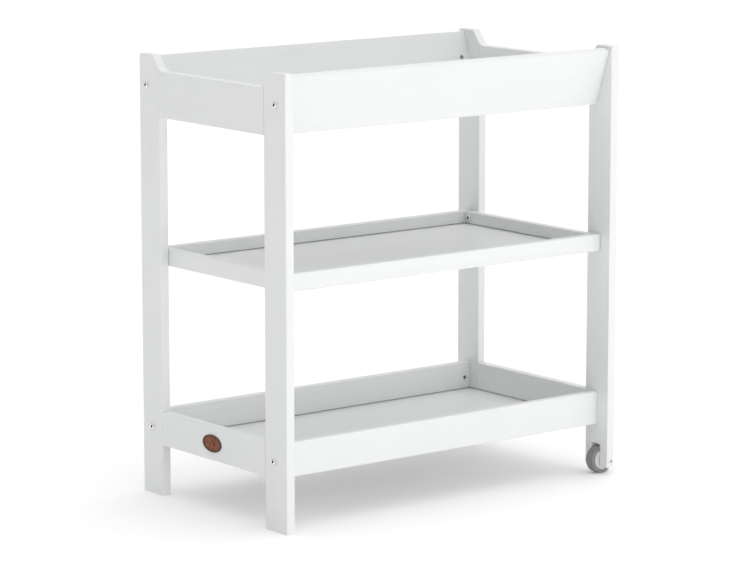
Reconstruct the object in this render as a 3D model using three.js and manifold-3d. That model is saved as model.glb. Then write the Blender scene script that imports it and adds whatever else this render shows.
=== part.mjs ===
// Changing table in white painted wood. Two end frames carry a top tray with tilted long boards, a
// framed middle shelf and a lower tray. The right posts stand on wheels that turn in slots.
// Millimetres, Z up. The code works from X = 0 on the left end's outer face, Y = 0 on the front
// posts' front face and Z = 0 on the floor. The last lines move the origin to the middle of the base.

import * as THREE from "three";
import { mergeVertices } from "three/addons/utils/BufferGeometryUtils.js";
import Module from "manifold-3d";

const wasm = await Module();
wasm.setup();

// ---------- driving dimensions ----------

const WIDTH = 870;
const DEPTH = 500;
const HEIGHT = 918;
const GAP = 0.3; // air between two pieces that touch
const OPEN_JOINT = 1; // air between a front post and its end boards, which shows as a line

// End frames: two posts and two end boards each, all of one thickness.
const FRAME_THICKNESS = 20;
const POST_DEPTH = 70;
const POST_TOP_FLAT = 47; // flat top, before the slope down to the end board
const POST_SLOPE = THREE.MathUtils.degToRad(52);
const FILLET_RADIUS = 23.5; // hollow curve from the slope to the end board's top edge
const TOP_END_BOTTOM = 791;
const TOP_END_TOP = 886;
const LOWER_END_BOTTOM = 107;
const LOWER_END_TOP = 178.5;
const TENON_THICKNESS = 10;
const TENON_LENGTH = 21;
const TENON_DROP = 14; // from the end board's top edge to the tenon
const TENON_RISE = 17; // from the end board's bottom edge to the tenon

// Long boards of both trays. Both trays sit a little towards the back of the end frames.
const BOARD_THICKNESS = 18;
const TRAY_SHIFT = 3.5;
const TOP_BOARD_INSET = 3.6; // from the post's outer face to the board's upper outer edge
const TOP_BOARD_HIGH = 908.4; // height of that edge
const TOP_BOARD_WIDTH = 123; // measured down the slope
const TOP_BOARD_TILT = THREE.MathUtils.degToRad(18.5);
const LOWER_BOARD_INSET = 29.5;
const LOWER_BOARD_BOTTOM = 107;
const LOWER_BOARD_TOP = 177.5;

// Middle shelf: a frame of four rails round a thin panel.
const SHELF_INSET = 28;
const SHELF_BOTTOM = 482;
const SHELF_TOP = 518;
const DOWEL_RADIUS = 4;
const DOWEL_LENGTH = 32;
const DOWEL_DEPTH = 10; // how far the dowel goes into the side rail
const DOWEL_HIGH = 504;

// Panels lie in grooves. Each groove is higher than its panel, and the air above it shows as a line.
const GROOVE_DEPTH = 6;
const GROOVE_AIR = 1.5;
const DECK_TOP = 812;
const DECK_THICKNESS = 9;
const LOWER_PANEL_TOP = 117.8;
const SHELF_PANEL_TOP = 491;
const PANEL_THICKNESS = 5;

// Bolts and barrel nuts that hold the long boards to the end frames.
const BOLT_RADIUS = 3;
const BOLT_HOLE_RADIUS = 3.3;
const HEAD_RADIUS = 6.5;
const HEAD_HEIGHT = 3.5;
const SOCKET_RADIUS = 2.9; // across the corners of the hexagon
const SOCKET_DEPTH = 2.4;
const NUT_RADIUS = 5;
const NUT_LENGTH = 11;
const NUT_HOLE_RADIUS = 5.3;
const BOLT_PAST_NUT = 9;
const TOP_BOLT = { inset: 28.8, high: 855, nutFromEnd: 21 };
const LOWER_BOLT = { inset: LOWER_BOARD_INSET + BOARD_THICKNESS / 2, high: 142.4, nutFromEnd: 15 };

// Bolts and threaded inserts that hold the middle shelf to the posts.
const SHELF_BOLT_INSET = 59;
const SHELF_BOLT_HIGH = 505;
const SHELF_BOLT_LENGTH = 29;
const SHELF_BOLT_HOLE_X = 6; // how near its hole comes to the post's outer face
const INSERT_RADIUS = 5;
const INSERT_LENGTH = 12;

// Wheels of the right posts.
const WHEEL_RADIUS = 30;
const WHEEL_WIDTH = 22;
const WHEEL_INSET = POST_DEPTH / 2;
const AXLE_X = WIDTH - FRAME_THICKNESS / 2;
const FOOT_RISE = 16; // the right posts end above the floor
const SLOT_WIDTH = 24;
const SLOT_TOP = 65;
const SLOT_CORNER = 1;
const TYRE_INNER_RADIUS = 22;
const AXLE_RADIUS = 3;
const AXLE_LENGTH = 62;
const AXLE_HEAD_RADIUS = 4.6;
const AXLE_HEAD_HEIGHT = 2;
const AXLE_SOCKET_RADIUS = 2.3;
const AXLE_SOCKET_DEPTH = 1.3;
const TYRE_CROWN = 0.6;
const TYRE_SHOULDER = 1.6;
const HUB_BORE_RADIUS = 3.08; // a running fit on the axle screw
const HUB_BOSS_RADIUS = 8;
const HUB_BOSS_WIDTH = 23.6;
const HUB_RIM = 10;
const HUB_WEB = 21.6;
const HUB_PROUD = 0.6; // from the tyre's side out to the hub's

// Oval plate on the lower left end board.
const BADGE = { length: 64, height: 36, thickness: 2, rim: 3, recess: 0.7, y: 252.5, high: 142.7 };

// Facets of the round shapes.
const HOLE_FACETS = 20;
const FITTING_FACETS = 16;
const SCREW_FACETS = 24;
const HUB_FACETS = 32;
const TYRE_FACETS = 40;
const SHOULDER_FACETS = 3;
const OUTLINE_FACETS = 6;
const OVAL_FACETS = 20;
const HEXAGON = 6;
const PAST = 1; // how far a cutting shape runs out of the piece that it cuts

// ---------- materials ----------

function material(color, roughness, metalness) {
  return new THREE.MeshStandardMaterial({ color, roughness, metalness });
}

const PAINT = material(0xf3f5f4, 0.42, 0);
const PANEL_PAINT = material(0xeff1f0, 0.3, 0);
const STEEL = material(0xb9bcbe, 0.32, 1);
const BEECH = material(0xc9a877, 0.6, 0);
const COPPER = material(0x84513a, 0.4, 0.6);
const GREY_RUBBER = material(0x76797a, 0.75, 0);
const GREY_PLASTIC = material(0xcbcdcc, 0.5, 0);

// ---------- geometry helpers ----------

function solid(geometry) {
  const bare = geometry.clone();
  bare.deleteAttribute("normal");
  bare.deleteAttribute("uv");
  const merged = mergeVertices(bare, 1e-4);
  const mesh = new wasm.Mesh({
    numProp: 3,
    vertProperties: new Float32Array(merged.attributes.position.array),
    triVerts: new Uint32Array(merged.index.array),
  });
  return new wasm.Manifold(mesh);
}

function geometryOf(body) {
  const mesh = body.getMesh();
  const geometry = new THREE.BufferGeometry();
  geometry.setAttribute("position", new THREE.BufferAttribute(mesh.vertProperties, 3));
  geometry.setIndex(new THREE.BufferAttribute(mesh.triVerts, 1));
  const faceted = geometry.toNonIndexed();
  faceted.computeVertexNormals();
  return faceted;
}

function cut(geometry, tools) {
  const body = tools.reduce((rest, tool) => rest.subtract(solid(tool)), solid(geometry));
  return geometryOf(body);
}

function joined(geometries) {
  const [first, ...others] = geometries.map(solid);
  return geometryOf(others.reduce((sum, other) => sum.add(other), first));
}

function block(x, y, z) {
  const box = new THREE.BoxGeometry(x[1] - x[0], y[1] - y[0], z[1] - z[0]);
  return box.translate((x[0] + x[1]) / 2, (y[0] + y[1]) / 2, (z[0] + z[1]) / 2);
}

// A round rod between two points.
function rod(from, to, radius, facets = HOLE_FACETS) {
  const start = new THREE.Vector3(...from);
  const end = new THREE.Vector3(...to);
  const along = end.clone().sub(start);
  const turn = new THREE.Quaternion().setFromUnitVectors(
    new THREE.Vector3(0, 1, 0),
    along.clone().normalize(),
  );
  const middle = start.clone().add(end).multiplyScalar(0.5);
  return new THREE.CylinderGeometry(radius, radius, along.length(), facets)
    .applyQuaternion(turn)
    .translate(middle.x, middle.y, middle.z);
}

// Extrudes a (Y, Z) outline along X.
function prism(shape, x, curveSegments = OUTLINE_FACETS) {
  const along = new THREE.ExtrudeGeometry(shape, {
    depth: x[1] - x[0],
    bevelEnabled: false,
    curveSegments,
  });
  const upright = new THREE.Matrix4().makeBasis(
    new THREE.Vector3(0, 1, 0),
    new THREE.Vector3(0, 0, 1),
    new THREE.Vector3(1, 0, 0),
  );
  return along.applyMatrix4(upright).translate(x[0], 0, 0);
}

// The front piece turned half round about the table's upright middle line becomes the back piece.
function turned(geometry) {
  return geometry.rotateZ(Math.PI).translate(WIDTH, DEPTH, 0);
}

function depthFrom(end, inset) {
  return end === "front" ? inset : DEPTH - inset;
}

function trayInset(end, inset) {
  return end === "front" ? inset + TRAY_SHIFT : inset - TRAY_SHIFT;
}

const INNER_X = [FRAME_THICKNESS, WIDTH - FRAME_THICKNESS];
const LONG_BOARD_X = [INNER_X[0] + GAP, INNER_X[1] - GAP];
const ENDS = ["front", "back"];
const SIDES = ["left", "right"];

function postX(side) {
  return side === "left" ? [0, FRAME_THICKNESS] : [WIDTH - FRAME_THICKNESS, WIDTH];
}

// A distance in from either end frame's outer face, as an X.
function acrossFrom(side, distance) {
  return side === "left" ? distance : WIDTH - distance;
}

// ---------- panels and the grooves that hold them ----------

const tiltedDepth = BOARD_THICKNESS / Math.cos(TOP_BOARD_TILT);
const tiltedInset = TOP_BOARD_INSET + (TOP_BOARD_HIGH - DECK_TOP) * Math.tan(TOP_BOARD_TILT);
const hold = GROOVE_DEPTH - GAP;

function panelBetween(insetOfInnerFace, top, thickness) {
  return {
    x: [INNER_X[0] - hold, INNER_X[1] + hold],
    y: [
      trayInset("front", insetOfInnerFace) - hold,
      DEPTH - trayInset("back", insetOfInnerFace) + hold,
    ],
    z: [top - thickness, top],
  };
}

const deck = panelBetween(tiltedInset + tiltedDepth, DECK_TOP, DECK_THICKNESS);
const lowerPanel = panelBetween(
  LOWER_BOARD_INSET + BOARD_THICKNESS,
  LOWER_PANEL_TOP,
  PANEL_THICKNESS,
);
const railX = [INNER_X[0] + GAP, INNER_X[0] + GAP + BOARD_THICKNESS];
const shelfPanel = {
  x: [railX[1] - hold, WIDTH - railX[1] + hold],
  y: [SHELF_INSET + BOARD_THICKNESS - hold, DEPTH - SHELF_INSET - BOARD_THICKNESS + hold],
  z: [SHELF_PANEL_TOP - PANEL_THICKNESS, SHELF_PANEL_TOP],
};

function groove(panel) {
  return block(
    [panel.x[0] - GAP, panel.x[1] + GAP],
    [panel.y[0] - GAP, panel.y[1] + GAP],
    [panel.z[0] - GAP, panel.z[1] + GROOVE_AIR],
  );
}

// ---------- end frames ----------

// The hollow curve is a circle that meets the slope at one end and the end board's top at the other.
const filletHigh = TOP_END_TOP + FILLET_RADIUS;
const slopeFoot = filletHigh - FILLET_RADIUS * Math.cos(POST_SLOPE);
const filletInset =
  POST_TOP_FLAT +
  (HEIGHT - slopeFoot) / Math.tan(POST_SLOPE) +
  FILLET_RADIUS * Math.sin(POST_SLOPE);

function filletAngle(inset) {
  return Math.asin((filletInset - inset) / FILLET_RADIUS);
}

function postShape(bottom) {
  const shape = new THREE.Shape();
  const down = -Math.PI / 2;
  shape.moveTo(0, bottom);
  shape.lineTo(POST_DEPTH, bottom);
  shape.absarc(
    filletInset,
    filletHigh,
    FILLET_RADIUS,
    down - filletAngle(POST_DEPTH),
    down - POST_SLOPE,
    true,
  );
  shape.lineTo(POST_TOP_FLAT, HEIGHT);
  shape.lineTo(0, HEIGHT);
  return shape;
}

// An open-bottomed slot with small round corners at its top.
function wheelSlot(end) {
  const middle = depthFrom(end, WHEEL_INSET);
  const near = middle - SLOT_WIDTH / 2;
  const far = middle + SLOT_WIDTH / 2;
  const shape = new THREE.Shape();
  const cornerHigh = SLOT_TOP - SLOT_CORNER;
  shape.moveTo(near, 0);
  shape.lineTo(far, 0);
  shape.absarc(far - SLOT_CORNER, cornerHigh, SLOT_CORNER, 0, Math.PI / 2, false);
  shape.absarc(near + SLOT_CORNER, cornerHigh, SLOT_CORNER, Math.PI / 2, Math.PI, false);
  const [left, right] = postX("right");
  return prism(shape, [left - PAST, right + PAST]);
}

function tenonZ(bottom, top) {
  return [bottom + TENON_RISE, top - TENON_DROP];
}

function tenonX(side) {
  const middle = acrossFrom(side, FRAME_THICKNESS / 2);
  return [middle - TENON_THICKNESS / 2, middle + TENON_THICKNESS / 2];
}

// The hole for a tenon, open towards the end board.
function mortise(side, end, bottom, top) {
  const x = tenonX(side);
  const z = tenonZ(bottom, top);
  const deep = depthFrom(end, POST_DEPTH - TENON_LENGTH - GAP);
  const open = depthFrom(end, POST_DEPTH + PAST);
  return block(
    [x[0] - GAP, x[1] + GAP],
    [Math.min(deep, open), Math.max(deep, open)],
    [z[0] - GAP, z[1] + GAP],
  );
}

function boltHole(side, end, bolt) {
  const y = depthFrom(end, trayInset(end, bolt.inset));
  const from = acrossFrom(side, -PAST);
  const to = acrossFrom(side, FRAME_THICKNESS + PAST);
  return rod([from, y, bolt.high], [to, y, bolt.high], BOLT_HOLE_RADIUS);
}

function insertHole(side, end) {
  const y = depthFrom(end, SHELF_BOLT_INSET);
  const deep = acrossFrom(side, FRAME_THICKNESS - INSERT_LENGTH - GAP);
  const mouth = acrossFrom(side, FRAME_THICKNESS + PAST);
  return rod([deep, y, SHELF_BOLT_HIGH], [mouth, y, SHELF_BOLT_HIGH], INSERT_RADIUS + GAP);
}

// The end of the shelf bolt needs a little depth behind the insert.
function boltTipHole(side, end) {
  const y = depthFrom(end, SHELF_BOLT_INSET);
  const deep = acrossFrom(side, SHELF_BOLT_HOLE_X);
  const mouth = acrossFrom(side, FRAME_THICKNESS);
  return rod([deep, y, SHELF_BOLT_HIGH], [mouth, y, SHELF_BOLT_HIGH], BOLT_HOLE_RADIUS);
}

function axleHole(end) {
  const outer = depthFrom(end, -PAST);
  const inner = depthFrom(end, AXLE_LENGTH + PAST);
  return rod([AXLE_X, outer, WHEEL_RADIUS], [AXLE_X, inner, WHEEL_RADIUS], AXLE_RADIUS + GAP);
}

function post(side, end) {
  const bottom = side === "left" ? 0 : FOOT_RISE;
  const madeOn = end === "front" ? side : SIDES.find((other) => other !== side);
  const front = prism(postShape(bottom), postX(madeOn));
  const blank = end === "front" ? front : turned(front);
  const tools = [
    groove(deck),
    groove(lowerPanel),
    mortise(side, end, TOP_END_BOTTOM, TOP_END_TOP),
    mortise(side, end, LOWER_END_BOTTOM, LOWER_END_TOP),
    boltHole(side, end, TOP_BOLT),
    boltHole(side, end, LOWER_BOLT),
    insertHole(side, end),
    boltTipHole(side, end),
  ];
  if (side === "right") tools.push(wheelSlot(end), axleHole(end));
  return cut(blank, tools);
}

const endBoardY = [POST_DEPTH + OPEN_JOINT, DEPTH - POST_DEPTH - GAP];

function tenons(side, bottom, top) {
  const x = tenonX(side);
  const z = tenonZ(bottom, top);
  return ENDS.map((end) => {
    const tip = depthFrom(end, POST_DEPTH - TENON_LENGTH);
    const root = depthFrom(end, POST_DEPTH + OPEN_JOINT + PAST);
    return block(x, [Math.min(tip, root), Math.max(tip, root)], z);
  });
}

// The top end board's upper edge curves up at both ends to meet the posts' slopes.
function topEndShape() {
  const down = -Math.PI / 2;
  const frontReach = filletAngle(endBoardY[0]);
  const backReach = filletAngle(DEPTH - endBoardY[1]);
  const shape = new THREE.Shape();
  shape.moveTo(endBoardY[0], TOP_END_BOTTOM);
  shape.lineTo(endBoardY[1], TOP_END_BOTTOM);
  shape.absarc(DEPTH - filletInset, filletHigh, FILLET_RADIUS, down + backReach, down, true);
  shape.absarc(filletInset, filletHigh, FILLET_RADIUS, down, down - frontReach, true);
  return shape;
}

function endBoardTop(side) {
  const blank = prism(topEndShape(), postX(side));
  const whole = joined([blank, ...tenons(side, TOP_END_BOTTOM, TOP_END_TOP)]);
  return cut(whole, [groove(deck)]);
}

function endBoardLower(side) {
  const blank = block(postX(side), endBoardY, [LOWER_END_BOTTOM, LOWER_END_TOP]);
  const whole = joined([blank, ...tenons(side, LOWER_END_BOTTOM, LOWER_END_TOP)]);
  return cut(whole, [groove(lowerPanel)]);
}

// ---------- long boards of the trays ----------

function nutX(side, bolt) {
  return acrossFrom(side, FRAME_THICKNESS + bolt.nutFromEnd);
}

// The direction through a board's thickness, towards the middle of the table.
function inward(end, tilt) {
  const sign = end === "front" ? 1 : -1;
  return new THREE.Vector3(0, sign * Math.cos(tilt), Math.sin(tilt));
}

function nutCentre(side, end, bolt) {
  const y = depthFrom(end, trayInset(end, bolt.inset));
  return new THREE.Vector3(nutX(side, bolt), y, bolt.high);
}

// A blind hole for a barrel nut, open on the board's inner face, and the bolt's hole from the end.
function fixingHoles(end, bolt, tilt) {
  const through = inward(end, tilt);
  return SIDES.flatMap((side) => {
    const centre = nutCentre(side, end, bolt);
    const blind = centre.clone().addScaledVector(through, -NUT_LENGTH / 2 - GAP);
    const mouth = centre.clone().addScaledVector(through, BOARD_THICKNESS);
    const y = centre.y;
    const from = acrossFrom(side, FRAME_THICKNESS - PAST);
    const to = acrossFrom(side, FRAME_THICKNESS + bolt.nutFromEnd + BOLT_PAST_NUT + PAST);
    return [
      rod(blind.toArray(), mouth.toArray(), NUT_HOLE_RADIUS),
      rod([from, y, bolt.high], [to, y, bolt.high], BOLT_HOLE_RADIUS),
    ];
  });
}

function topBoard(end) {
  const inset = trayInset(end, TOP_BOARD_INSET);
  const run = TOP_BOARD_WIDTH * Math.sin(TOP_BOARD_TILT);
  const drop = TOP_BOARD_WIDTH * Math.cos(TOP_BOARD_TILT);
  const across = BOARD_THICKNESS * Math.cos(TOP_BOARD_TILT);
  const rise = BOARD_THICKNESS * Math.sin(TOP_BOARD_TILT);
  const shape = new THREE.Shape();
  shape.moveTo(inset, TOP_BOARD_HIGH);
  shape.lineTo(inset + run, TOP_BOARD_HIGH - drop);
  shape.lineTo(inset + run + across, TOP_BOARD_HIGH - drop + rise);
  shape.lineTo(inset + across, TOP_BOARD_HIGH + rise);
  const front = prism(shape, LONG_BOARD_X);
  const blank = end === "front" ? front : turned(front);
  return cut(blank, [groove(deck), ...fixingHoles(end, TOP_BOLT, TOP_BOARD_TILT)]);
}

function lowerBoard(end) {
  const inset = trayInset(end, LOWER_BOARD_INSET);
  const front = block(
    LONG_BOARD_X,
    [inset, inset + BOARD_THICKNESS],
    [LOWER_BOARD_BOTTOM, LOWER_BOARD_TOP],
  );
  const blank = end === "front" ? front : turned(front);
  return cut(blank, [groove(lowerPanel), ...fixingHoles(end, LOWER_BOLT, 0)]);
}

// ---------- middle shelf ----------

const crossRailX = [railX[1] + GAP, WIDTH - railX[1] - GAP];
const dowelInset = SHELF_INSET + BOARD_THICKNESS / 2;

function dowelHole(side, end) {
  const y = depthFrom(end, dowelInset);
  const from = acrossFrom(side, railX[1] - DOWEL_DEPTH - GAP);
  const to = acrossFrom(side, railX[1] - DOWEL_DEPTH + DOWEL_LENGTH + GAP);
  return rod([from, y, DOWEL_HIGH], [to, y, DOWEL_HIGH], DOWEL_RADIUS + GAP);
}

function shelfBoltHole(side, end) {
  const y = depthFrom(end, SHELF_BOLT_INSET);
  const from = acrossFrom(side, railX[0] - PAST);
  const to = acrossFrom(side, railX[1] + PAST);
  return rod([from, y, SHELF_BOLT_HIGH], [to, y, SHELF_BOLT_HIGH], BOLT_HOLE_RADIUS);
}

function sideRail(side) {
  const left = block(railX, [SHELF_INSET, DEPTH - SHELF_INSET], [SHELF_BOTTOM, SHELF_TOP]);
  const blank = side === "left" ? left : turned(left);
  const holes = ENDS.flatMap((end) => [dowelHole(side, end), shelfBoltHole(side, end)]);
  return cut(blank, [groove(shelfPanel), ...holes]);
}

function crossRail(end) {
  const y = [SHELF_INSET, SHELF_INSET + BOARD_THICKNESS];
  const front = block(crossRailX, y, [SHELF_BOTTOM, SHELF_TOP]);
  const blank = end === "front" ? front : turned(front);
  return cut(blank, [groove(shelfPanel), ...SIDES.map((side) => dowelHole(side, end))]);
}

// ---------- fittings ----------

// A screw or bolt with a low domed head. The head's underside is at the origin, the shank along +Y.
function domedScrew({ headRadius, headHeight, radius, length, socketRadius, socketDepth }, facets) {
  const tip = radius / 3; // bevel at the shank's end
  const profile = [
    [0, -headHeight],
    [headRadius * 0.55, -headHeight],
    [headRadius * 0.85, -headHeight * 0.8],
    [headRadius, -headHeight * 0.45],
    [headRadius, 0],
    [radius, 0],
    [radius, length - tip],
    [radius - tip, length],
    [0, length],
  ].map(([across, along]) => new THREE.Vector2(across, along));
  const floor = socketDepth - headHeight;
  const socket = rod([0, -headHeight - PAST, 0], [0, floor, 0], socketRadius, HEXAGON);
  return cut(new THREE.LatheGeometry(profile, facets), [socket]);
}

// The bolt of the boards and the shelf, along +X.
function bolt(length) {
  const sizes = {
    headRadius: HEAD_RADIUS,
    headHeight: HEAD_HEIGHT,
    radius: BOLT_RADIUS,
    length,
    socketRadius: SOCKET_RADIUS,
    socketDepth: SOCKET_DEPTH,
  };
  return domedScrew(sizes, FITTING_FACETS).rotateZ(-Math.PI / 2);
}

function barrelNut(tilt, end) {
  const half = inward(end, tilt).multiplyScalar(NUT_LENGTH / 2);
  const barrel = rod(half.clone().negate().toArray(), half.toArray(), NUT_RADIUS, FITTING_FACETS);
  const reach = NUT_RADIUS + PAST;
  const thread = rod([-reach, 0, 0], [reach, 0, 0], BOLT_HOLE_RADIUS, FITTING_FACETS);
  return cut(barrel, [thread]);
}

function threadedInsert() {
  const sleeve = rod([0, 0, 0], [INSERT_LENGTH, 0, 0], INSERT_RADIUS, FITTING_FACETS);
  const thread = rod([-PAST, 0, 0], [INSERT_LENGTH + PAST, 0, 0], BOLT_HOLE_RADIUS, FITTING_FACETS);
  return cut(sleeve, [thread]);
}

function ovalPlate() {
  const { length, height, thickness, rim, recess } = BADGE;
  const oval = (edge, x) => {
    const shape = new THREE.Shape();
    shape.absellipse(0, 0, length / 2 - edge, height / 2 - edge, 0, Math.PI * 2, false, 0);
    return prism(shape, x, OVAL_FACETS);
  };
  return cut(oval(0, [-thickness, 0]), [oval(rim, [-thickness - PAST, -thickness + recess])]);
}

// ---------- wheels ----------

// A solid ring of rubber with a slightly crowned tread and round shoulders.
function tyre() {
  const half = WHEEL_WIDTH / 2;
  const profile = [new THREE.Vector2(TYRE_INNER_RADIUS, -half)];
  const side = WHEEL_RADIUS - TYRE_CROWN - TYRE_SHOULDER;
  for (let step = 0; step <= SHOULDER_FACETS; step += 1) {
    const angle = (step / SHOULDER_FACETS - 1) * (Math.PI / 2);
    const across = -half + TYRE_SHOULDER * (1 + Math.sin(angle));
    profile.push(new THREE.Vector2(side + TYRE_SHOULDER * Math.cos(angle), across));
  }
  profile.push(new THREE.Vector2(WHEEL_RADIUS, 0));
  const upper = profile.slice(0, -1).reverse();
  upper.forEach((point) => profile.push(new THREE.Vector2(point.x, -point.y)));
  profile.push(profile[0].clone());
  return new THREE.LatheGeometry(profile, TYRE_FACETS);
}

// Rim, a shallow dish on each side, and a boss that keeps the wheel in the middle of its slot.
function hub() {
  const rimOuter = TYRE_INNER_RADIUS - GAP;
  const rimInner = rimOuter - HUB_RIM;
  const half = WHEEL_WIDTH / 2 + HUB_PROUD;
  const web = HUB_WEB / 2;
  const boss = HUB_BOSS_WIDTH / 2;
  const upper = [
    [rimOuter, half],
    [rimInner, half],
    [rimInner, web],
    [HUB_BOSS_RADIUS, web],
    [HUB_BOSS_RADIUS, boss],
    [HUB_BORE_RADIUS, boss],
  ].map(([radius, across]) => new THREE.Vector2(radius, across));
  const lower = upper.map((point) => new THREE.Vector2(point.x, -point.y)).reverse();
  const profile = [...upper, ...lower, upper[0].clone()];
  return new THREE.LatheGeometry(profile, HUB_FACETS);
}

// The screw that goes through both cheeks of the slot, along +Y.
function axleScrew() {
  const sizes = {
    headRadius: AXLE_HEAD_RADIUS,
    headHeight: AXLE_HEAD_HEIGHT,
    radius: AXLE_RADIUS,
    length: AXLE_LENGTH,
    socketRadius: AXLE_SOCKET_RADIUS,
    socketDepth: AXLE_SOCKET_DEPTH,
  };
  return domedScrew(sizes, SCREW_FACETS);
}

// ---------- assembly ----------

const table = new THREE.Group();

function add(name, geometry, look, place = [0, 0, 0], turnZ = 0) {
  const mesh = new THREE.Mesh(geometry, look);
  mesh.name = name;
  mesh.position.set(...place);
  mesh.rotation.z = turnZ;
  table.add(mesh);
}

for (const side of SIDES) {
  for (const end of ENDS) add(`post_${end}_${side}`, post(side, end), PAINT);
  add(`end_board_top_${side}`, endBoardTop(side), PAINT);
  add(`end_board_lower_${side}`, endBoardLower(side), PAINT);
  add(`shelf_side_rail_${side}`, sideRail(side), PAINT);
}

for (const end of ENDS) {
  add(`top_board_${end}`, topBoard(end), PAINT);
  add(`lower_board_${end}`, lowerBoard(end), PAINT);
  add(`shelf_rail_${end}`, crossRail(end), PAINT);
}

add("top_deck", block(deck.x, deck.y, deck.z), PANEL_PAINT);
add("lower_panel", block(lowerPanel.x, lowerPanel.y, lowerPanel.z), PANEL_PAINT);
add("shelf_panel", block(shelfPanel.x, shelfPanel.y, shelfPanel.z), PANEL_PAINT);

const BOARD_FIXINGS = [
  { tray: "top", fixing: TOP_BOLT, tilt: TOP_BOARD_TILT },
  { tray: "lower", fixing: LOWER_BOLT, tilt: 0 },
];

for (const side of SIDES) {
  const facing = side === "left" ? 0 : Math.PI;
  for (const end of ENDS) {
    for (const { tray, fixing, tilt } of BOARD_FIXINGS) {
      const y = depthFrom(end, trayInset(end, fixing.inset));
      const length = GAP + FRAME_THICKNESS + fixing.nutFromEnd + BOLT_PAST_NUT;
      const place = [acrossFrom(side, -GAP), y, fixing.high];
      add(`${tray}_bolt_${end}_${side}`, bolt(length), STEEL, place, facing);
      const centre = nutCentre(side, end, fixing).toArray();
      add(`${tray}_barrel_nut_${end}_${side}`, barrelNut(tilt, end), STEEL, centre);
    }
    const y = depthFrom(end, SHELF_BOLT_INSET);
    const headX = acrossFrom(side, railX[1] + GAP);
    const shelfBolt = bolt(SHELF_BOLT_LENGTH);
    const boltPlace = [headX, y, SHELF_BOLT_HIGH];
    add(`shelf_bolt_${end}_${side}`, shelfBolt, STEEL, boltPlace, facing + Math.PI);
    const insertX = acrossFrom(side, FRAME_THICKNESS - INSERT_LENGTH);
    const insertPlace = [insertX, y, SHELF_BOLT_HIGH];
    add(`shelf_insert_${end}_${side}`, threadedInsert(), STEEL, insertPlace, facing);
    const dowelX = [railX[1] - DOWEL_DEPTH, railX[1] - DOWEL_DEPTH + DOWEL_LENGTH];
    const ends = dowelX.map((x) => [acrossFrom(side, x), depthFrom(end, dowelInset), DOWEL_HIGH]);
    add(`shelf_dowel_${end}_${side}`, rod(ends[0], ends[1], DOWEL_RADIUS, FITTING_FACETS), BEECH);
  }
}

for (const end of ENDS) {
  const centre = [AXLE_X, depthFrom(end, WHEEL_INSET), WHEEL_RADIUS];
  add(`tyre_${end}`, tyre(), GREY_RUBBER, centre);
  add(`hub_${end}`, hub(), GREY_PLASTIC, centre);
  const facing = end === "front" ? 0 : Math.PI;
  const headPlace = [AXLE_X, depthFrom(end, -GAP), WHEEL_RADIUS];
  add(`axle_screw_${end}`, axleScrew(), STEEL, headPlace, facing);
}

add("oval_badge", ovalPlate(), COPPER, [-GAP, BADGE.y, BADGE.high]);

// The origin moves to the middle of the base of the whole table, bolt heads and wheels included.
const lowX = -GAP - HEAD_HEIGHT;
const highX = AXLE_X + WHEEL_RADIUS;
table.position.set(-(lowX + highX) / 2, -DEPTH / 2, 0);

const changingTable = new THREE.Group();
changingTable.add(table);

export default changingTable;
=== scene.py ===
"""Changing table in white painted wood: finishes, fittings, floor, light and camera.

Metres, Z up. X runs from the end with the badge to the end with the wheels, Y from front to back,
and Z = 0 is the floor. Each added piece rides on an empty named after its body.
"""

import math

import bmesh
import bpy
from mathutils import Matrix, Vector


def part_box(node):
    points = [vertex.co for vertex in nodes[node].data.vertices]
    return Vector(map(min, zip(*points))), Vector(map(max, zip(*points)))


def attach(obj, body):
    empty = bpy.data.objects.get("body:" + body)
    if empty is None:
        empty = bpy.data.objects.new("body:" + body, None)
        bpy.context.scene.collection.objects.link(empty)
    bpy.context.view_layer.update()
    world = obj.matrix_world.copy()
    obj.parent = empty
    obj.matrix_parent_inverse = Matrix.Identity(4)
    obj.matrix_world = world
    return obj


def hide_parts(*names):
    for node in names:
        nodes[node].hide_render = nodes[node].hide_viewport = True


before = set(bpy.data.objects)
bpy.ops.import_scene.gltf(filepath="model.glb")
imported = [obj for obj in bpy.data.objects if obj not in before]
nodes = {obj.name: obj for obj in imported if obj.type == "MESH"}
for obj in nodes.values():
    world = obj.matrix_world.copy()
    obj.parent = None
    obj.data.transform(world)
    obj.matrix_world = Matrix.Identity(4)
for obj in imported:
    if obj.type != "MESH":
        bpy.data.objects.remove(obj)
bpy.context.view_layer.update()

MM = 0.001
ENDS = ("front", "back")
SIDES = ("left", "right")
FACETS = 72  # round a turned piece; a multiple of six, so that hexagons keep their corners

BOARD_LEAN = math.radians(18.5)  # of the top tray's long boards
SHANK_RADIUS = 3 * MM  # of the bolts and of the axle screws
BOLT_HEAD_RADIUS = 6.5 * MM
BOLT_HEAD_HEIGHT = 3.5 * MM
BOLT_SOCKET_CORNER = 2.9 * MM
BOLT_SOCKET_DEPTH = 2.4 * MM
AXLE_HEAD_RADIUS = 4.6 * MM
AXLE_HEAD_HEIGHT = 2 * MM
AXLE_SOCKET_CORNER = 2.3 * MM
AXLE_SOCKET_DEPTH = 1.3 * MM


# ---------- node trees ----------


def add_node(tree, kind, values=None, **settings):
    """Adds a node, sets its settings, and fills its inputs with numbers or links."""
    made = tree.nodes.new(kind)
    for name, value in settings.items():
        setattr(made, name, value)
    for name, value in (values or {}).items():
        socket = made.inputs[name]
        if isinstance(value, bpy.types.NodeSocket):
            tree.links.new(value, socket)
        else:
            socket.default_value = value
    return made


def new_material(name):
    material = bpy.data.materials.new(name)
    material.use_nodes = True
    tree = material.node_tree
    shader = next(node for node in tree.nodes if node.type == "BSDF_PRINCIPLED")
    return material, tree, shader


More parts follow.
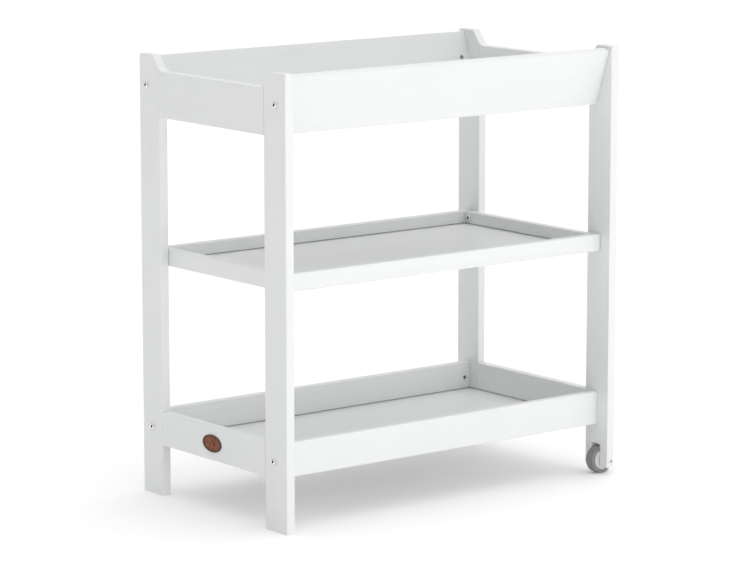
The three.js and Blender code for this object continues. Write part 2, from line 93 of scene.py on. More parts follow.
def fill(tree, shader, values):
    for name, value in values.items():
        if isinstance(value, bpy.types.NodeSocket):
            tree.links.new(value, shader.inputs[name])
        else:
            shader.inputs[name].default_value = value


def places(tree, stretch=(1.0, 1.0, 1.0)):
    """The point on the object in metres, squeezed along each axis by the given factors."""
    spot = add_node(tree, "ShaderNodeTexCoord").outputs["Object"]
    if tuple(stretch) == (1.0, 1.0, 1.0):
        return spot
    values = {"Vector": spot, "Scale": stretch}
    return add_node(tree, "ShaderNodeMapping", values).outputs["Vector"]


def noise(tree, spot, scale, detail=2.0, roughness=0.5, distortion=0.0):
    values = {
        "Vector": spot,
        "Scale": scale,
        "Detail": detail,
        "Roughness": roughness,
        "Distortion": distortion,
    }
    return add_node(tree, "ShaderNodeTexNoise", values).outputs[0]


def ranged(tree, value, low, high, new_low, new_high):
    values = {
        "Value": value,
        "From Min": low,
        "From Max": high,
        "To Min": new_low,
        "To Max": new_high,
    }
    return add_node(tree, "ShaderNodeMapRange", values).outputs["Result"]


def math_node(tree, operation, first, second):
    made = add_node(tree, "ShaderNodeMath", {0: first, 1: second}, operation=operation)
    return made.outputs[0]


def mixed(tree, factor, first, second):
    made = add_node(tree, "ShaderNodeMix", data_type="RGBA")
    colours = [socket for socket in made.inputs if socket.type == "RGBA"]
    for socket, value in zip((made.inputs[0], *colours), (factor, first, second)):
        if isinstance(value, bpy.types.NodeSocket):
            tree.links.new(value, socket)
        else:
            socket.default_value = value
    return next(socket for socket in made.outputs if socket.type == "RGBA")


def bumped(tree, height, depth, before=None):
    """A bump of the given depth in metres, on top of an earlier one if there is one."""
    values = {"Height": height, "Distance": depth, "Strength": 1.0}
    if before is not None:
        values["Normal"] = before
    return add_node(tree, "ShaderNodeBump", values).outputs["Normal"]


def edges(tree, low, high):
    """0 on flat faces and 1 on the outer edges."""
    point = add_node(tree, "ShaderNodeNewGeometry").outputs["Pointiness"]
    return ranged(tree, point, low, high, 0.0, 1.0)


def grey(value, warmth=0.0):
    return (value * (1 + warmth), value, value * (1 - warmth), 1.0)


# ---------- finishes ----------


def painted_wood(name, grain_axis):
    """Satin white paint over wood: faint grain along one axis, brushed coat, thinner at the edges."""
    material, tree, shader = new_material(name)
    along_grain = 0.03
    squeeze = [1.0, 1.0, 1.0]
    squeeze[grain_axis] = along_grain
    spot = places(tree)
    along = places(tree, squeeze)
    fibres = noise(tree, along, 950.0, 3.0, 0.6)
    figure = noise(tree, along, 95.0, 2.0, 0.5, 0.6)
    coat = noise(tree, spot, 520.0, 2.0)
    clouds = noise(tree, spot, 9.0, 3.0)
    paint = mixed(tree, clouds, (0.79, 0.81, 0.8, 1.0), (0.83, 0.843, 0.836, 1.0))
    veins = ranged(tree, figure, 0.52, 0.72, 0.0, 0.22)
    paint = mixed(tree, veins, paint, (0.74, 0.745, 0.725, 1.0))
    worn = math_node(tree, "MULTIPLY", edges(tree, 0.51, 0.6), noise(tree, spot, 160.0))
    paint = mixed(tree, math_node(tree, "MULTIPLY", worn, 0.5), paint, (0.78, 0.765, 0.72, 1.0))
    rough = ranged(tree, noise(tree, spot, 40.0, 4.0), 0.3, 0.7, 0.36, 0.48)
    relief = bumped(tree, fibres, 0.035 * MM)
    relief = bumped(tree, figure, 0.06 * MM, relief)
    relief = bumped(tree, coat, 0.02 * MM, relief)
    values = {
        "Base Color": paint,
        "Roughness": rough,
        "Normal": relief,
        "IOR": 1.5,
        "Coat Weight": 0.15,
        "Coat Roughness": 0.3,
    }
    fill(tree, shader, values)
    return material


def painted_panel(name):
    """Smooth board with a shinier sprayed coat, and the fine marks of use."""
    material, tree, shader = new_material(name)
    spot = places(tree)
    peel = noise(tree, spot, 180.0, 2.0)
    clouds = noise(tree, spot, 6.0, 3.0)
    paint = mixed(tree, clouds, (0.785, 0.795, 0.79, 1.0), (0.805, 0.815, 0.81, 1.0))
    marks = noise(tree, places(tree, (0.1, 1.0, 1.0)), 300.0, 3.0)
    rough = ranged(tree, marks, 0.35, 0.7, 0.34, 0.4)
    relief = bumped(tree, peel, 0.004 * MM)
    values = {"Base Color": paint, "Roughness": rough, "Normal": relief, "IOR": 1.5}
    fill(tree, shader, values)
    return material


def zinc_steel(name, socket_radius):
    """Plated steel: cool grey, fine turning marks round the piece's own X axis, painted shade in the
    socket.
    """
    material, tree, shader = new_material(name)
    spot = places(tree)
    parts = add_node(tree, "ShaderNodeSeparateXYZ", {"Vector": spot})
    across = math_node(tree, "MULTIPLY", parts.outputs["Y"], parts.outputs["Y"])
    upward = math_node(tree, "MULTIPLY", parts.outputs["Z"], parts.outputs["Z"])
    distance = math_node(tree, "SQRT", math_node(tree, "ADD", across, upward), 0.0)
    rings = add_node(tree, "ShaderNodeCombineXYZ", {"X": distance, "Y": 0.0, "Z": 0.0})
    turning = noise(tree, rings.outputs["Vector"], 9000.0, 1.0)
    stain = noise(tree, spot, 700.0, 3.0)
    metal = mixed(tree, stain, (0.78, 0.79, 0.8, 1.0), (0.9, 0.905, 0.91, 1.0))
    # Painted shade: within the socket's radius of the X axis the metal is darkened nearly to black,
    # standing in for the shade inside the socket.
    painted_socket_shade = ranged(tree, distance, socket_radius * 0.96, socket_radius * 1.04, 1.0, 0.0)
    metal = mixed(tree, painted_socket_shade, metal, (0.03, 0.03, 0.032, 1.0))
    rough = ranged(tree, stain, 0.3, 0.7, 0.14, 0.26)
    relief = bumped(tree, turning, 0.004 * MM)
    values = {"Base Color": metal, "Metallic": 1.0, "Roughness": rough, "Normal": relief}
    fill(tree, shader, values)
    return material


def beech(name):
    material, tree, shader = new_material(name)
    along = places(tree, (0.05, 1.0, 1.0))
    fibres = noise(tree, along, 1400.0, 3.0)
    wood = mixed(tree, fibres, (0.5, 0.33, 0.18, 1.0), (0.66, 0.47, 0.29, 1.0))
    rough = ranged(tree, fibres, 0.3, 0.7, 0.5, 0.66)
    relief = bumped(tree, fibres, 0.05 * MM)
    fill(tree, shader, {"Base Color": wood, "Roughness": rough, "Normal": relief})
    return material


def aged_copper(name, length, height):
    """Old copper: mottled brown on the field, dark along the rim of an oval of the given size."""
    material, tree, shader = new_material(name)
    spot = places(tree, (0.0, 2 / length, 2 / height))
    size = add_node(tree, "ShaderNodeVectorMath", {0: spot}, operation="LENGTH").outputs["Value"]
    rim = ranged(tree, size, 0.76, 0.86, 0.0, 1.0)
    blotch = noise(tree, places(tree), 210.0, 4.0, 0.6)
    field = mixed(
        tree,
        ranged(tree, blotch, 0.38, 0.62, 0.0, 1.0),
        (0.1, 0.022, 0.012, 1.0),
        (0.34, 0.13, 0.062, 1.0),
    )
    dark = mixed(tree, blotch, (0.06, 0.034, 0.024, 1.0), (0.15, 0.09, 0.062, 1.0))
    metal = mixed(tree, rim, field, dark)
    rough = ranged(tree, blotch, 0.3, 0.7, 0.34, 0.55)
    relief = bumped(tree, noise(tree, places(tree), 420.0, 2.0), 0.12 * MM)
    values = {"Base Color": metal, "Metallic": 0.75, "Roughness": rough, "Normal": relief}
    fill(tree, shader, values)
    return material


def grey_rubber(name):
    material, tree, shader = new_material(name)
    spot = places(tree)
    dust = noise(tree, spot, 160.0, 4.0, 0.6)
    rubber = mixed(tree, dust, grey(0.2), grey(0.29, 0.01))
    rough = ranged(tree, dust, 0.3, 0.7, 0.62, 0.82)
    relief = bumped(tree, noise(tree, spot, 2200.0, 2.0), 0.04 * MM)
    values = {"Base Color": rubber, "Roughness": rough, "Normal": relief}
    fill(tree, shader, values)
    return material


def grey_plastic(name):
    material, tree, shader = new_material(name)
    spot = places(tree)
    swirl = noise(tree, spot, 60.0, 3.0, 0.5, 1.2)
    plastic = mixed(tree, swirl, grey(0.66), grey(0.72, 0.005))
    rough = ranged(tree, noise(tree, spot, 320.0), 0.3, 0.7, 0.4, 0.52)
    relief = bumped(tree, noise(tree, spot, 2600.0, 2.0), 0.025 * MM)
    values = {"Base Color": plastic, "Roughness": rough, "Normal": relief}
    fill(tree, shader, values)
    return material


def floor_paint(name):
    material, tree, shader = new_material(name)
    spot = places(tree)
    speckle = noise(tree, spot, 40.0, 4.0)
    white = mixed(tree, speckle, grey(0.93), grey(0.96))
    rough = ranged(tree, speckle, 0.3, 0.7, 0.8, 0.95)
    values = {"Base Color": white, "Roughness": rough, "Emission Strength": 0.07}
    values["Emission Color"] = (1.0, 1.0, 1.0, 1.0)
    fill(tree, shader, values)
    return material


# ---------- softened edges of the wooden pieces ----------

SMALL_SHARE = 0.1  # of the full rounding, on edges that lie against another piece
ROUNDING = 2.5 * MM
PANEL_ROUNDING = 0.4 * MM
DOWEL_ROUNDING = 0.5 * MM
INSERT_ROUNDING = 0.3 * MM
ABOVE_ALL = 10.0  # a height that no piece reaches
POST_SLOPE_LOW = 0.88  # the sloping tops of the posts lie above this height
BOARD_SLOPE_LOW = 0.8855  # and the sloping ends of the top end boards above this one
BOX_ENDS = ("left", "right", "front", "back", "bottom", "top")
LONG_BOARD_ENDS = ("front", "back", "bottom", "top")


def join_group():
    """Joins the triangles' shared corners and forgets their stored normals."""
    group = bpy.data.node_groups.new("join_corners", "GeometryNodeTree")
    group.interface.new_socket("Geometry", in_out="INPUT", socket_type="NodeSocketGeometry")
    group.interface.new_socket("Geometry", in_out="OUTPUT", socket_type="NodeSocketGeometry")
    start = group.nodes.new("NodeGroupInput")
    end = group.nodes.new("NodeGroupOutput")
    merge = add_node(
        group,
        "GeometryNodeMergeByDistance",
        {"Geometry": start.outputs[0], "Distance": 0.01 * MM},
    )
    shape = merge.outputs["Geometry"]
    for attribute in ("custom_normal", "sharp_edge", "sharp_face"):
        removed = add_node(
            group, "GeometryNodeRemoveAttribute", {"Geometry": shape, "Name": attribute}
        )
        shape = removed.outputs["Geometry"]
    group.links.new(shape, end.inputs[0])
    return group


def smooth_group():
    """Shades faces smooth and keeps an edge sharp where it turns by more than 35 degrees."""
    group = bpy.data.node_groups.new("smooth_by_angle", "GeometryNodeTree")
    group.interface.new_socket("Geometry", in_out="INPUT", socket_type="NodeSocketGeometry")
    group.interface.new_socket("Geometry", in_out="OUTPUT", socket_type="NodeSocketGeometry")
    start = group.nodes.new("NodeGroupInput")
    end = group.nodes.new("NodeGroupOutput")
    faces = add_node(
        group,
        "GeometryNodeSetShadeSmooth",
        {"Geometry": start.outputs[0], "Shade Smooth": True},
        domain="FACE",
    )
    angle = group.nodes.new("GeometryNodeInputMeshEdgeAngle").outputs["Unsigned Angle"]
    gentle = add_node(
        group, "FunctionNodeCompare", data_type="FLOAT", operation="LESS_THAN"
    )
    group.links.new(angle, gentle.inputs[0])
    gentle.inputs[1].default_value = math.radians(35)
    lines = add_node(
        group,
        "GeometryNodeSetShadeSmooth",
        {"Geometry": faces.outputs[0], "Shade Smooth": gentle.outputs[0]},
        domain="EDGE",
    )
    group.links.new(lines.outputs[0], end.inputs[0])
    return group


def edge_group(name, tests, lean=0.0, high=ABOVE_ALL):
    """Sets how much of the full rounding each edge gets.

    An edge is fully rounded where two of the tested outer faces of the piece meet, and beside an
    outer X face above the given height. Every other edge only loses its sharpness. The lean turns
    a leaning board upright about X before its outer faces are found.
    """
    group = bpy.data.node_groups.new(name, "GeometryNodeTree")
    group.interface.new_socket("Geometry", in_out="INPUT", socket_type="NodeSocketGeometry")
    group.interface.new_socket("Geometry", in_out="OUTPUT", socket_type="NodeSocketGeometry")
    start = group.nodes.new("NodeGroupInput")
    end = group.nodes.new("NodeGroupOutput")
    values = {"Geometry": start.outputs[0], "Rotation": (lean, 0.0, 0.0)}
    upright = add_node(group, "GeometryNodeTransform", values)
    box = add_node(group, "GeometryNodeBoundBox", {"Geometry": upright.outputs[0]})
    ends = group.nodes.new("GeometryNodeInputMeshEdgeVertices")
    values = {0: ends.outputs["Position 1"], 1: ends.outputs["Position 2"]}
    total = add_node(group, "ShaderNodeVectorMath", values, operation="ADD").outputs[0]
    values = {0: total, "Scale": 0.5}
    middle = add_node(group, "ShaderNodeVectorMath", values, operation="SCALE").outputs[0]
    values = {"Vector": middle, "Angle": lean}
    turned_back = add_node(group, "ShaderNodeVectorRotate", values, rotation_type="X_AXIS")
    place = add_node(group, "ShaderNodeSeparateXYZ", {"Vector": turned_back.outputs[0]}).outputs
    low = add_node(group, "ShaderNodeSeparateXYZ", {"Vector": box.outputs["Min"]}).outputs
    top = add_node(group, "ShaderNodeSeparateXYZ", {"Vector": box.outputs["Max"]}).outputs

    def beside(axis, limit):
        margin = 0.05 * MM
        values = {0: place[axis], 1: limit[axis], 2: margin}
        return add_node(group, "ShaderNodeMath", values, operation="COMPARE").outputs[0]

    found = {
        "left": beside("X", low),
        "right": beside("X", top),
        "front": beside("Y", low),
        "back": beside("Y", top),
        "bottom": beside("Z", low),
        "top": beside("Z", top),
    }
    count = 0.0
    for test in tests:
        count = math_node(group, "ADD", count, found[test])
    meeting = math_node(group, "GREATER_THAN", count, 1.5)
    either = math_node(group, "ADD", found["left"], found["right"])
    above = math_node(group, "GREATER_THAN", place["Z"], high)
    raised = math_node(group, "MULTIPLY", either, above)
    full = math_node(group, "MAXIMUM", meeting, raised)
    share = math_node(group, "MAXIMUM", full, SMALL_SHARE)
    angle = group.nodes.new("GeometryNodeInputMeshEdgeAngle").outputs["Unsigned Angle"]
    bent = math_node(group, "GREATER_THAN", angle, math.radians(30))
    values = {
        "Geometry": start.outputs[0],
        "Name": "bevel_weight_edge",
        "Value": math_node(group, "MULTIPLY", share, bent),
    }
    stored = add_node(
        group, "GeometryNodeStoreNamedAttribute", values, data_type="FLOAT", domain="EDGE"
    )
    group.links.new(stored.outputs[0], end.inputs[0])
    return group


JOIN_CORNERS = join_group()
SMOOTH_BY_ANGLE = smooth_group()
POST_EDGES = edge_group(
    "post_edges", ("left", "right", "front", "back", "top"), high=POST_SLOPE_LOW
)
END_BOARD_EDGES = edge_group(
    "end_board_edges", ("left", "right", "bottom", "top"), high=BOARD_SLOPE_LOW
)
LONG_BOARD_EDGES = edge_group("long_board_edges", LONG_BOARD_ENDS)
SIDE_RAIL_EDGES = edge_group("side_rail_edges", BOX_ENDS)
LEANING_EDGES = {
    "front": edge_group("front_leaning_edges", LONG_BOARD_ENDS, lean=-BOARD_LEAN),
    "back": edge_group("back_leaning_edges", LONG_BOARD_ENDS, lean=BOARD_LEAN),
}


def soften(piece, width, edge_shares=None):
    """Joins the mesh's corners, merges its flat faces and rounds its edges."""
    join = piece.modifiers.new("join_corners", "NODES")
    join.node_group = JOIN_CORNERS
    flat = piece.modifiers.new("flat_faces", "DECIMATE")
    flat.decimate_type = "DISSOLVE"
    flat.angle_limit = math.radians(0.5)
    if edge_shares:
        shares = piece.modifiers.new("edge_shares", "NODES")
        shares.node_group = edge_shares
    rounding = piece.modifiers.new("rounded_edges", "BEVEL")
    rounding.width = width
    rounding.segments = 4
    rounding.limit_method = "WEIGHT" if edge_shares else "ANGLE"
    rounding.angle_limit = math.radians(40)
    rounding.use_clamp_overlap = False
    rounding.miter_outer = "MITER_ARC"
    smooth = piece.modifiers.new("smooth", "NODES")
    smooth.node_group = SMOOTH_BY_ANGLE
    normals = piece.modifiers.new("even_normals", "WEIGHTED_NORMAL")
    normals.keep_sharp = True


def paint(piece, material):
    for held in piece.material_slots:
        held.link = "OBJECT"
        held.material = material


PAINT_ALONG = [painted_wood(f"white_paint_{axis}", number) for number, axis in enumerate("xyz")]
PANEL = painted_panel("white_panel")
STEEL = zinc_steel("zinc_steel", BOLT_SOCKET_CORNER)
FINE_STEEL = zinc_steel("fine_zinc_steel", AXLE_SOCKET_CORNER)
BEECH = beech("beech")
RUBBER = grey_rubber("grey_rubber")
PLASTIC = grey_plastic("grey_plastic")

for side in SIDES:
    for end in ENDS:
        soften(nodes[f"post_{end}_{side}"], ROUNDING, POST_EDGES)
        paint(nodes[f"post_{end}_{side}"], PAINT_ALONG[2])
    for name in ("end_board_top", "end_board_lower"):
        soften(nodes[f"{name}_{side}"], ROUNDING, END_BOARD_EDGES)
        paint(nodes[f"{name}_{side}"], PAINT_ALONG[1])
    soften(nodes[f"shelf_side_rail_{side}"], ROUNDING, SIDE_RAIL_EDGES)
    paint(nodes[f"shelf_side_rail_{side}"], PAINT_ALONG[1])

for end in ENDS:
    soften(nodes[f"top_board_{end}"], ROUNDING, LEANING_EDGES[end])
    soften(nodes[f"lower_board_{end}"], ROUNDING, LONG_BOARD_EDGES)
    soften(nodes[f"shelf_rail_{end}"], ROUNDING, LONG_BOARD_EDGES)
    for name in ("top_board", "lower_board", "shelf_rail"):
        paint(nodes[f"{name}_{end}"], PAINT_ALONG[0])

for name in ("top_deck", "lower_panel", "shelf_panel"):
    soften(nodes[name], PANEL_ROUNDING)
    paint(nodes[name], PANEL)

for side in SIDES:
    for end in ENDS:
        soften(nodes[f"shelf_dowel_{end}_{side}"], DOWEL_ROUNDING)
        paint(nodes[f"shelf_dowel_{end}_{side}"], BEECH)
        soften(nodes[f"shelf_insert_{end}_{side}"], INSERT_ROUNDING)
        paint(nodes[f"shelf_insert_{end}_{side}"], STEEL)


# ---------- turned pieces ----------


def hexagon(corner):
    """The radius of a hexagon at each angle, for a turned shape with a hexagonal row."""
    apothem = corner * math.cos(math.pi / 6)

    def radius(angle):
        return apothem / math.cos(angle % (math.pi / 3) - math.pi / 6)

    return radius


def turned(shape, rows, closed=False):
    """Turns rows of (radius, place along X) round the X axis. A radius of 0 closes an end."""
    rings = []
    for radius, along in rows:
        if radius == 0:
            rings.append([shape.verts.new((along, 0, 0))])
            continue
        ring = []
        for step in range(FACETS):
            angle = 2 * math.pi * step / FACETS
            reach = radius(angle) if callable(radius) else radius
            ring.append(shape.verts.new((along, reach * math.cos(angle), reach * math.sin(angle))))
        rings.append(ring)
    pairs = list(zip(rings, rings[1:]))
    if closed:
        pairs.append((rings[-1], rings[0]))
    for first, second in pairs:
        for step in range(FACETS):
            after = (step + 1) % FACETS
            corners = [
                first[step % len(first)],
                first[after % len(first)],
                second[after % len(second)],
                second[step % len(second)],
            ]
            shape.faces.new(list(dict.fromkeys(corners)))


def arc(centre_radius, centre_along, size, start, stop, steps=5):
    """Rows on a quarter round or other arc, with angles in degrees from the outward direction."""
    rows = []
    for step in range(steps + 1):
        angle = math.radians(start + (stop - start) * step / steps)
        rows.append(
            (centre_radius + size * math.cos(angle), centre_along + size * math.sin(angle))
        )
    return rows


def finished(name, shape, material, body, where=(0, 0, 0), turn=None):
    """Makes a piece of a shape, places it, and lets it ride on its body."""
    bmesh.ops.remove_doubles(shape, verts=shape.verts, dist=0.0005 * MM)
    bmesh.ops.recalc_face_normals(shape, faces=shape.faces)
    mesh = bpy.data.meshes.new(name)
    shape.to_mesh(mesh)
    shape.free()
    mesh.materials.append(material)
    mesh.shade_smooth()
    mesh.set_sharp_from_angle(angle=math.radians(32))
    piece = bpy.data.objects.new(name, mesh)
    bpy.context.scene.collection.objects.link(piece)
    piece.matrix_world = Matrix.Translation(where) @ (turn or Matrix.Identity(4))
    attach(piece, body)
    return piece


def screw(head_radius, head_height, length, socket_corner, socket_depth):
    """A screw with a low domed head along X: the head's underside at 0 and the shank on +X."""
    shape = bmesh.new()
    radius = SHANK_RADIUS
    flat = head_radius * 0.58
    dome_low = head_height * 0.35
    rim = head_height * 0.12
    dome_steps = 8
    rows = [(0, socket_depth - head_height)]
    rows += [(hexagon(socket_corner * 0.96), socket_depth - head_height)]
    rows += [(hexagon(socket_corner), socket_depth - head_height - 0.1 * MM)]
    rows += [(hexagon(socket_corner), -head_height + 0.2 * MM)]
    rows += [(socket_corner * 1.1, -head_height)]
    for step in range(dome_steps + 1):
        angle = math.pi / 2 * step / dome_steps
        out = flat + (head_radius - flat) * math.sin(angle)
        high = dome_low + (head_height - dome_low) * math.cos(angle)
        rows.append((out, -high))
    rows += [(head_radius, -rim), (head_radius - rim, 0), (radius + 0.3 * MM, 0)]
    rows += [(radius, 0.3 * MM), (radius, length - radius / 3)]
    rows += [(radius * 2 / 3, length), (0, length)]
    turned(shape, rows)
    return shape


def flip(faces_other_way):
    """Half a turn about Z for the fittings that face the other way."""
    return Matrix.Rotation(math.pi if faces_other_way else 0, 4, "Z")


def make_bolts():
    for side in SIDES:
        for end in ENDS:
            for tray in ("top", "lower", "shelf"):
                node = f"{tray}_bolt_{end}_{side}"
                low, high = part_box(node)
                outward = (side == "left") != (tray == "shelf")
                y = (low[1] + high[1]) / 2
                z = (low[2] + high[2]) / 2
                x = low[0] + BOLT_HEAD_HEIGHT if outward else high[0] - BOLT_HEAD_HEIGHT
                shape = screw(
                    BOLT_HEAD_RADIUS,
                    BOLT_HEAD_HEIGHT,
                    high[0] - low[0] - BOLT_HEAD_HEIGHT,
                    BOLT_SOCKET_CORNER,
                    BOLT_SOCKET_DEPTH,
                )
                piece = finished(
                    f"{node}_detail", shape, STEEL, "frame", (x, y, z), flip(not outward)
                )
                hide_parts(node)


def barrel_nut():
    """A barrel nut along X with rounded rims and a screwdriver slot in its end at +X."""
    shape = bmesh.new()
    radius = 5 * MM
    half = 5.5 * MM
    slot_half = 0.6 * MM
    slot_deep = 1.3 * MM
    rim = 0.5 * MM
    chamfer = 0.4 * MM
    slot_steps = 24
    rows = [(0, -half)]
    rows += arc(radius - rim, -half + rim, rim, -90, 0, 4)
    rows += [(radius, half - slot_deep), (0, half - slot_deep)]
    turned(shape, rows)
    for sign in (1, -1):
        start = math.acos(slot_half / radius)
        outline = []
        for step in range(slot_steps + 1):
            angle = -start + 2 * start * step / slot_steps
            outline.append((sign * radius * math.cos(angle), radius * math.sin(angle)))
        low = [shape.verts.new((half - slot_deep, y, z)) for y, z in outline]
        mid = [shape.verts.new((half - chamfer, y, z)) for y, z in outline]
        inner = 1 - chamfer / radius
        top = []
        for y, z in outline:
            top.append(shape.verts.new((half, max(abs(y) * inner, slot_half) * sign, z * inner)))
        for lower, upper in ((low, mid), (mid, top)):
            for step in range(len(outline)):
                after = (step + 1) % len(outline)
                shape.faces.new([lower[step], lower[after], upper[after], upper[step]])
        shape.faces.new(top)
        shape.faces.new(list(reversed(low)))
    return shape


def make_barrel_nuts():
    for side in SIDES:
        for end in ENDS:
            for tray in ("top", "lower"):
                node = f"{tray}_barrel_nut_{end}_{side}"
                low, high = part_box(node)
                middle = [(low[i] + high[i]) / 2 for i in range(3)]
                lean = BOARD_LEAN if tray == "top" else 0
                sign = 1 if end == "front" else -1
                inward = Vector((0, sign * math.cos(lean), math.sin(lean)))
                turn = Vector((1, 0, 0)).rotation_difference(inward).to_matrix().to_4x4()
                piece = finished(
                    f"{node}_detail", barrel_nut(), STEEL, "frame", middle, turn
                )
                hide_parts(node)


make_bolts()
make_barrel_nuts()


# ---------- wheels ----------


def tyre_shape():
    """A solid rubber tyre round X: crowned tread, round shoulders, a fine step beside the hub."""
    shape = bmesh.new()
    half = 11 * MM
    inner = 22 * MM
    outer = 30 * MM
    crown = 0.6 * MM
    shoulder = 1.6 * MM
    side = outer - crown - shoulder
    sunk = half - 0.5 * MM
    step_in = inner + 1.2 * MM
    step_out = step_in + 0.4 * MM
    tread_steps = 6
    rows = [(inner, -sunk), (step_in, -sunk), (step_out, -half)]
    rows += arc(side, -half + shoulder, shoulder, -90, 0, 8)
    for step in range(1, 2 * tread_steps):
        across = -1 + step / tread_steps
        reach = outer - crown * across * across
        rows.append((reach, across * (half - shoulder)))
    rows += arc(side, half - shoulder, shoulder, 0, 90, 8)
    rows += [(step_out, half), (step_in, sunk), (inner, sunk)]
    turned(shape, rows, closed=True)
    return shape


def hub_shape():
    """A moulded hub round X: on both sides a broad rim, and a shallow dish round a boss."""
    shape = bmesh.new()
    half = 11.6 * MM
    dish = 10.8 * MM
    corner = 0.4 * MM
    edge = 0.3 * MM
    rim_outer = 21.7 * MM
    rim_inner = 11.7 * MM
    boss = 8 * MM
    boss_half = 11.8 * MM
    bore = 3.08 * MM
    upper = [(rim_outer, half - edge), (rim_outer - edge, half)]
    upper += [(rim_inner + edge, half), (rim_inner, half - edge)]
    upper += arc(rim_inner - corner, dish + corner, corner, 0, -90, 4)
    upper += arc(boss + corner, dish + corner, corner, 270, 180, 4)
    upper += [(boss, boss_half - edge), (boss - edge, boss_half)]
    upper += [(bore + edge, boss_half), (bore, boss_half - edge)]
    lower = [(radius, -along) for radius, along in reversed(upper)]
    turned(shape, upper + lower, closed=True)
    return shape


def make_wheels():
    upright = Matrix.Rotation(math.pi / 2, 4, "Z")
    for end in ENDS:
        low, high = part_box(f"tyre_{end}")
        centre = [(low[i] + high[i]) / 2 for i in range(3)]
        body = f"wheel_{end}"
        tyre = finished(
            f"tyre_{end}_detail", tyre_shape(), RUBBER, body, centre, upright
        )
        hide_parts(f"tyre_{end}")
        hub = finished(
            f"hub_{end}_detail", hub_shape(), PLASTIC, body, centre, upright
        )
        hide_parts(f"hub_{end}")
        low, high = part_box(f"axle_screw_{end}")
        sign = 1 if end == "front" else -1
        head = low[1] + AXLE_HEAD_HEIGHT if end == "front" else high[1] - AXLE_HEAD_HEIGHT
        shape = screw(
            AXLE_HEAD_RADIUS,
            AXLE_HEAD_HEIGHT,
            high[1] - low[1] - AXLE_HEAD_HEIGHT,
            AXLE_SOCKET_CORNER,
            AXLE_SOCKET_DEPTH,
        )
        turn = Matrix.Rotation(sign * math.pi / 2, 4, "Z")
        place = (centre[0], head, centre[2])
        axle = finished(
            f"axle_screw_{end}_detail", shape, FINE_STEEL, "frame", place, turn
        )
        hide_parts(f"axle_screw_{end}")


make_wheels()


# ---------- oval badge ----------


def oval_badge():
    """A plain oval plate: round rim, sunk field, and a fine raised line inside the rim."""
    low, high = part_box("oval_badge")
    length = high[1] - low[1]
    height = high[2] - low[2]
    thick = high[0] - low[0]
    shape = bmesh.new()
    steps = 96
    # Each row is how far it lies in from the outline in millimetres, and its height above the
    # plate's back as a share of the plate's thickness.
    rows = [(0, 0), (0, 0.55), (0.12, 0.8), (0.4, 0.95), (0.8, 1.0), (1.6, 1.0), (2.1, 0.94)]
    rows += [(2.5, 0.75), (2.7, 0.62), (4.4, 0.6), (4.6, 0.7), (4.9, 0.74), (5.2, 0.7), (5.4, 0.6)]
    rows += [(9.0, 0.64), (12.5, 0.7), (16.0, 0.73)]
    rings = []
    for inset, level in rows:
        ring = []
        for step in range(steps):
            angle = 2 * math.pi * step / steps
            y = (length / 2 - inset * MM) * math.cos(angle)
            z = (height / 2 - inset * MM) * math.sin(angle)
            ring.append(shape.verts.new((-level * thick, y, z)))
        rings.append(ring)
    for first, second in zip(rings, rings[1:]):
        for step in range(steps):
            after = (step + 1) % steps
            shape.faces.new([first[step], first[after], second[after], second[step]])
    shape.faces.new(rings[0])
    shape.faces.new(list(reversed(rings[-1])))
    middle = (high[0], (low[1] + high[1]) / 2, (low[2] + high[2]) / 2)
    copper = aged_copper("copper_plate", length, height)
    piece = finished("oval_badge_detail", shape, copper, "frame", middle)
    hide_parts("oval_badge")


oval_badge()


# ---------- floor, light and camera ----------


def make_floor():
    shape = bmesh.new()
    reach = 60.0
    corners = [(-reach, -reach), (reach, -reach), (reach, reach), (-reach, reach)]
    shape.faces.new([shape.verts.new((x, y, 0)) for x, y in corners])
    mesh = bpy.data.meshes.new("floor")
    shape.to_mesh(mesh)
    shape.free()
    mesh.materials.append(floor_paint("floor_white"))
    floor = bpy.data.objects.new("floor", mesh)
    bpy.context.scene.collection.objects.link(floor)


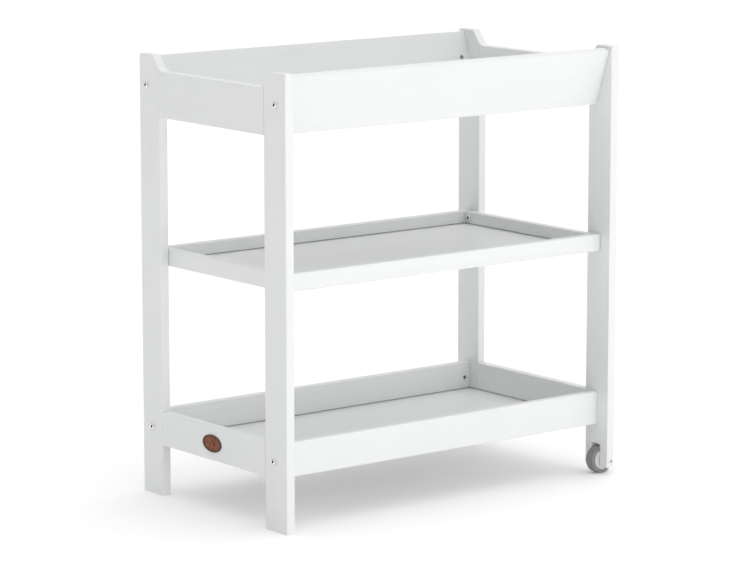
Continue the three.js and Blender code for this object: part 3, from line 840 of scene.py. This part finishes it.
def area_light(name, place, target, size, power):
    data = bpy.data.lights.new(name, "AREA")
    data.shape = "RECTANGLE"
    data.size = size[0]
    data.size_y = size[1]
    data.energy = power
    lamp = bpy.data.objects.new(name, data)
    lamp.location = place
    aim = Vector(target) - Vector(place)
    lamp.rotation_euler = aim.to_track_quat("-Z", "Y").to_euler()
    bpy.context.scene.collection.objects.link(lamp)


def make_world():
    """A dim room with a wide soft light overhead, brighter to the right and behind than in front."""
    world = bpy.data.worlds.new("studio")
    world.use_nodes = True
    tree = world.node_tree
    sky = next(node for node in tree.nodes if node.type == "BACKGROUND")
    sky.inputs["Color"].default_value = (1.0, 1.0, 1.0, 1.0)
    direction = add_node(tree, "ShaderNodeTexCoord").outputs["Generated"]
    parts = add_node(tree, "ShaderNodeSeparateXYZ", {"Vector": direction}).outputs

    def glow(axis, sign, sharpness, strength):
        towards = math_node(tree, "MULTIPLY", parts[axis], sign)
        facing = math_node(tree, "MAXIMUM", towards, 0.0)
        focused = math_node(tree, "POWER", facing, sharpness)
        return math_node(tree, "MULTIPLY", focused, strength)

    everywhere = 0.02
    total = everywhere
    for axis, sign, sharpness, strength in (
        ("Z", 1.0, 1.0, 0.72),
        ("Z", 1.0, 4.0, 1.05),
        ("Y", -1.0, 1.0, 0.22),
        ("X", 1.0, 2.0, 0.9),
        ("Y", 1.0, 2.0, 0.27),
    ):
        total = math_node(tree, "ADD", total, glow(axis, sign, sharpness, strength))
    tree.links.new(total, sky.inputs["Strength"])
    bpy.context.scene.world = world


def make_light():
    area_light("front", (0.5, -4.0, 1.3), (0, 0, 0.5), (3.0, 2.0), 20.0)
    area_light("front_low", (0.5, -3.0, 0.35), (0, 0, 0.3), (3.0, 0.5), 9.0)
    area_light("left", (-4.0, -0.5, 1.3), (0, 0, 0.5), (3.0, 2.0), 9.0)


def make_camera():
    data = bpy.data.cameras.new("camera")
    data.sensor_width = 36.0
    data.lens = 163.0
    data.clip_end = 300.0
    camera = bpy.data.objects.new("camera", data)
    camera.location = (-4.3478, -5.501, 1.6429)
    down = math.radians(9.81)
    round_z = math.radians(38.16)
    camera.rotation_euler = (math.pi / 2 - down, 0, -round_z)
    bpy.context.scene.collection.objects.link(camera)
    bpy.context.scene.camera = camera


make_floor()
make_world()
make_light()
make_camera()
bpy.context.scene.view_settings.view_transform = "Standard"
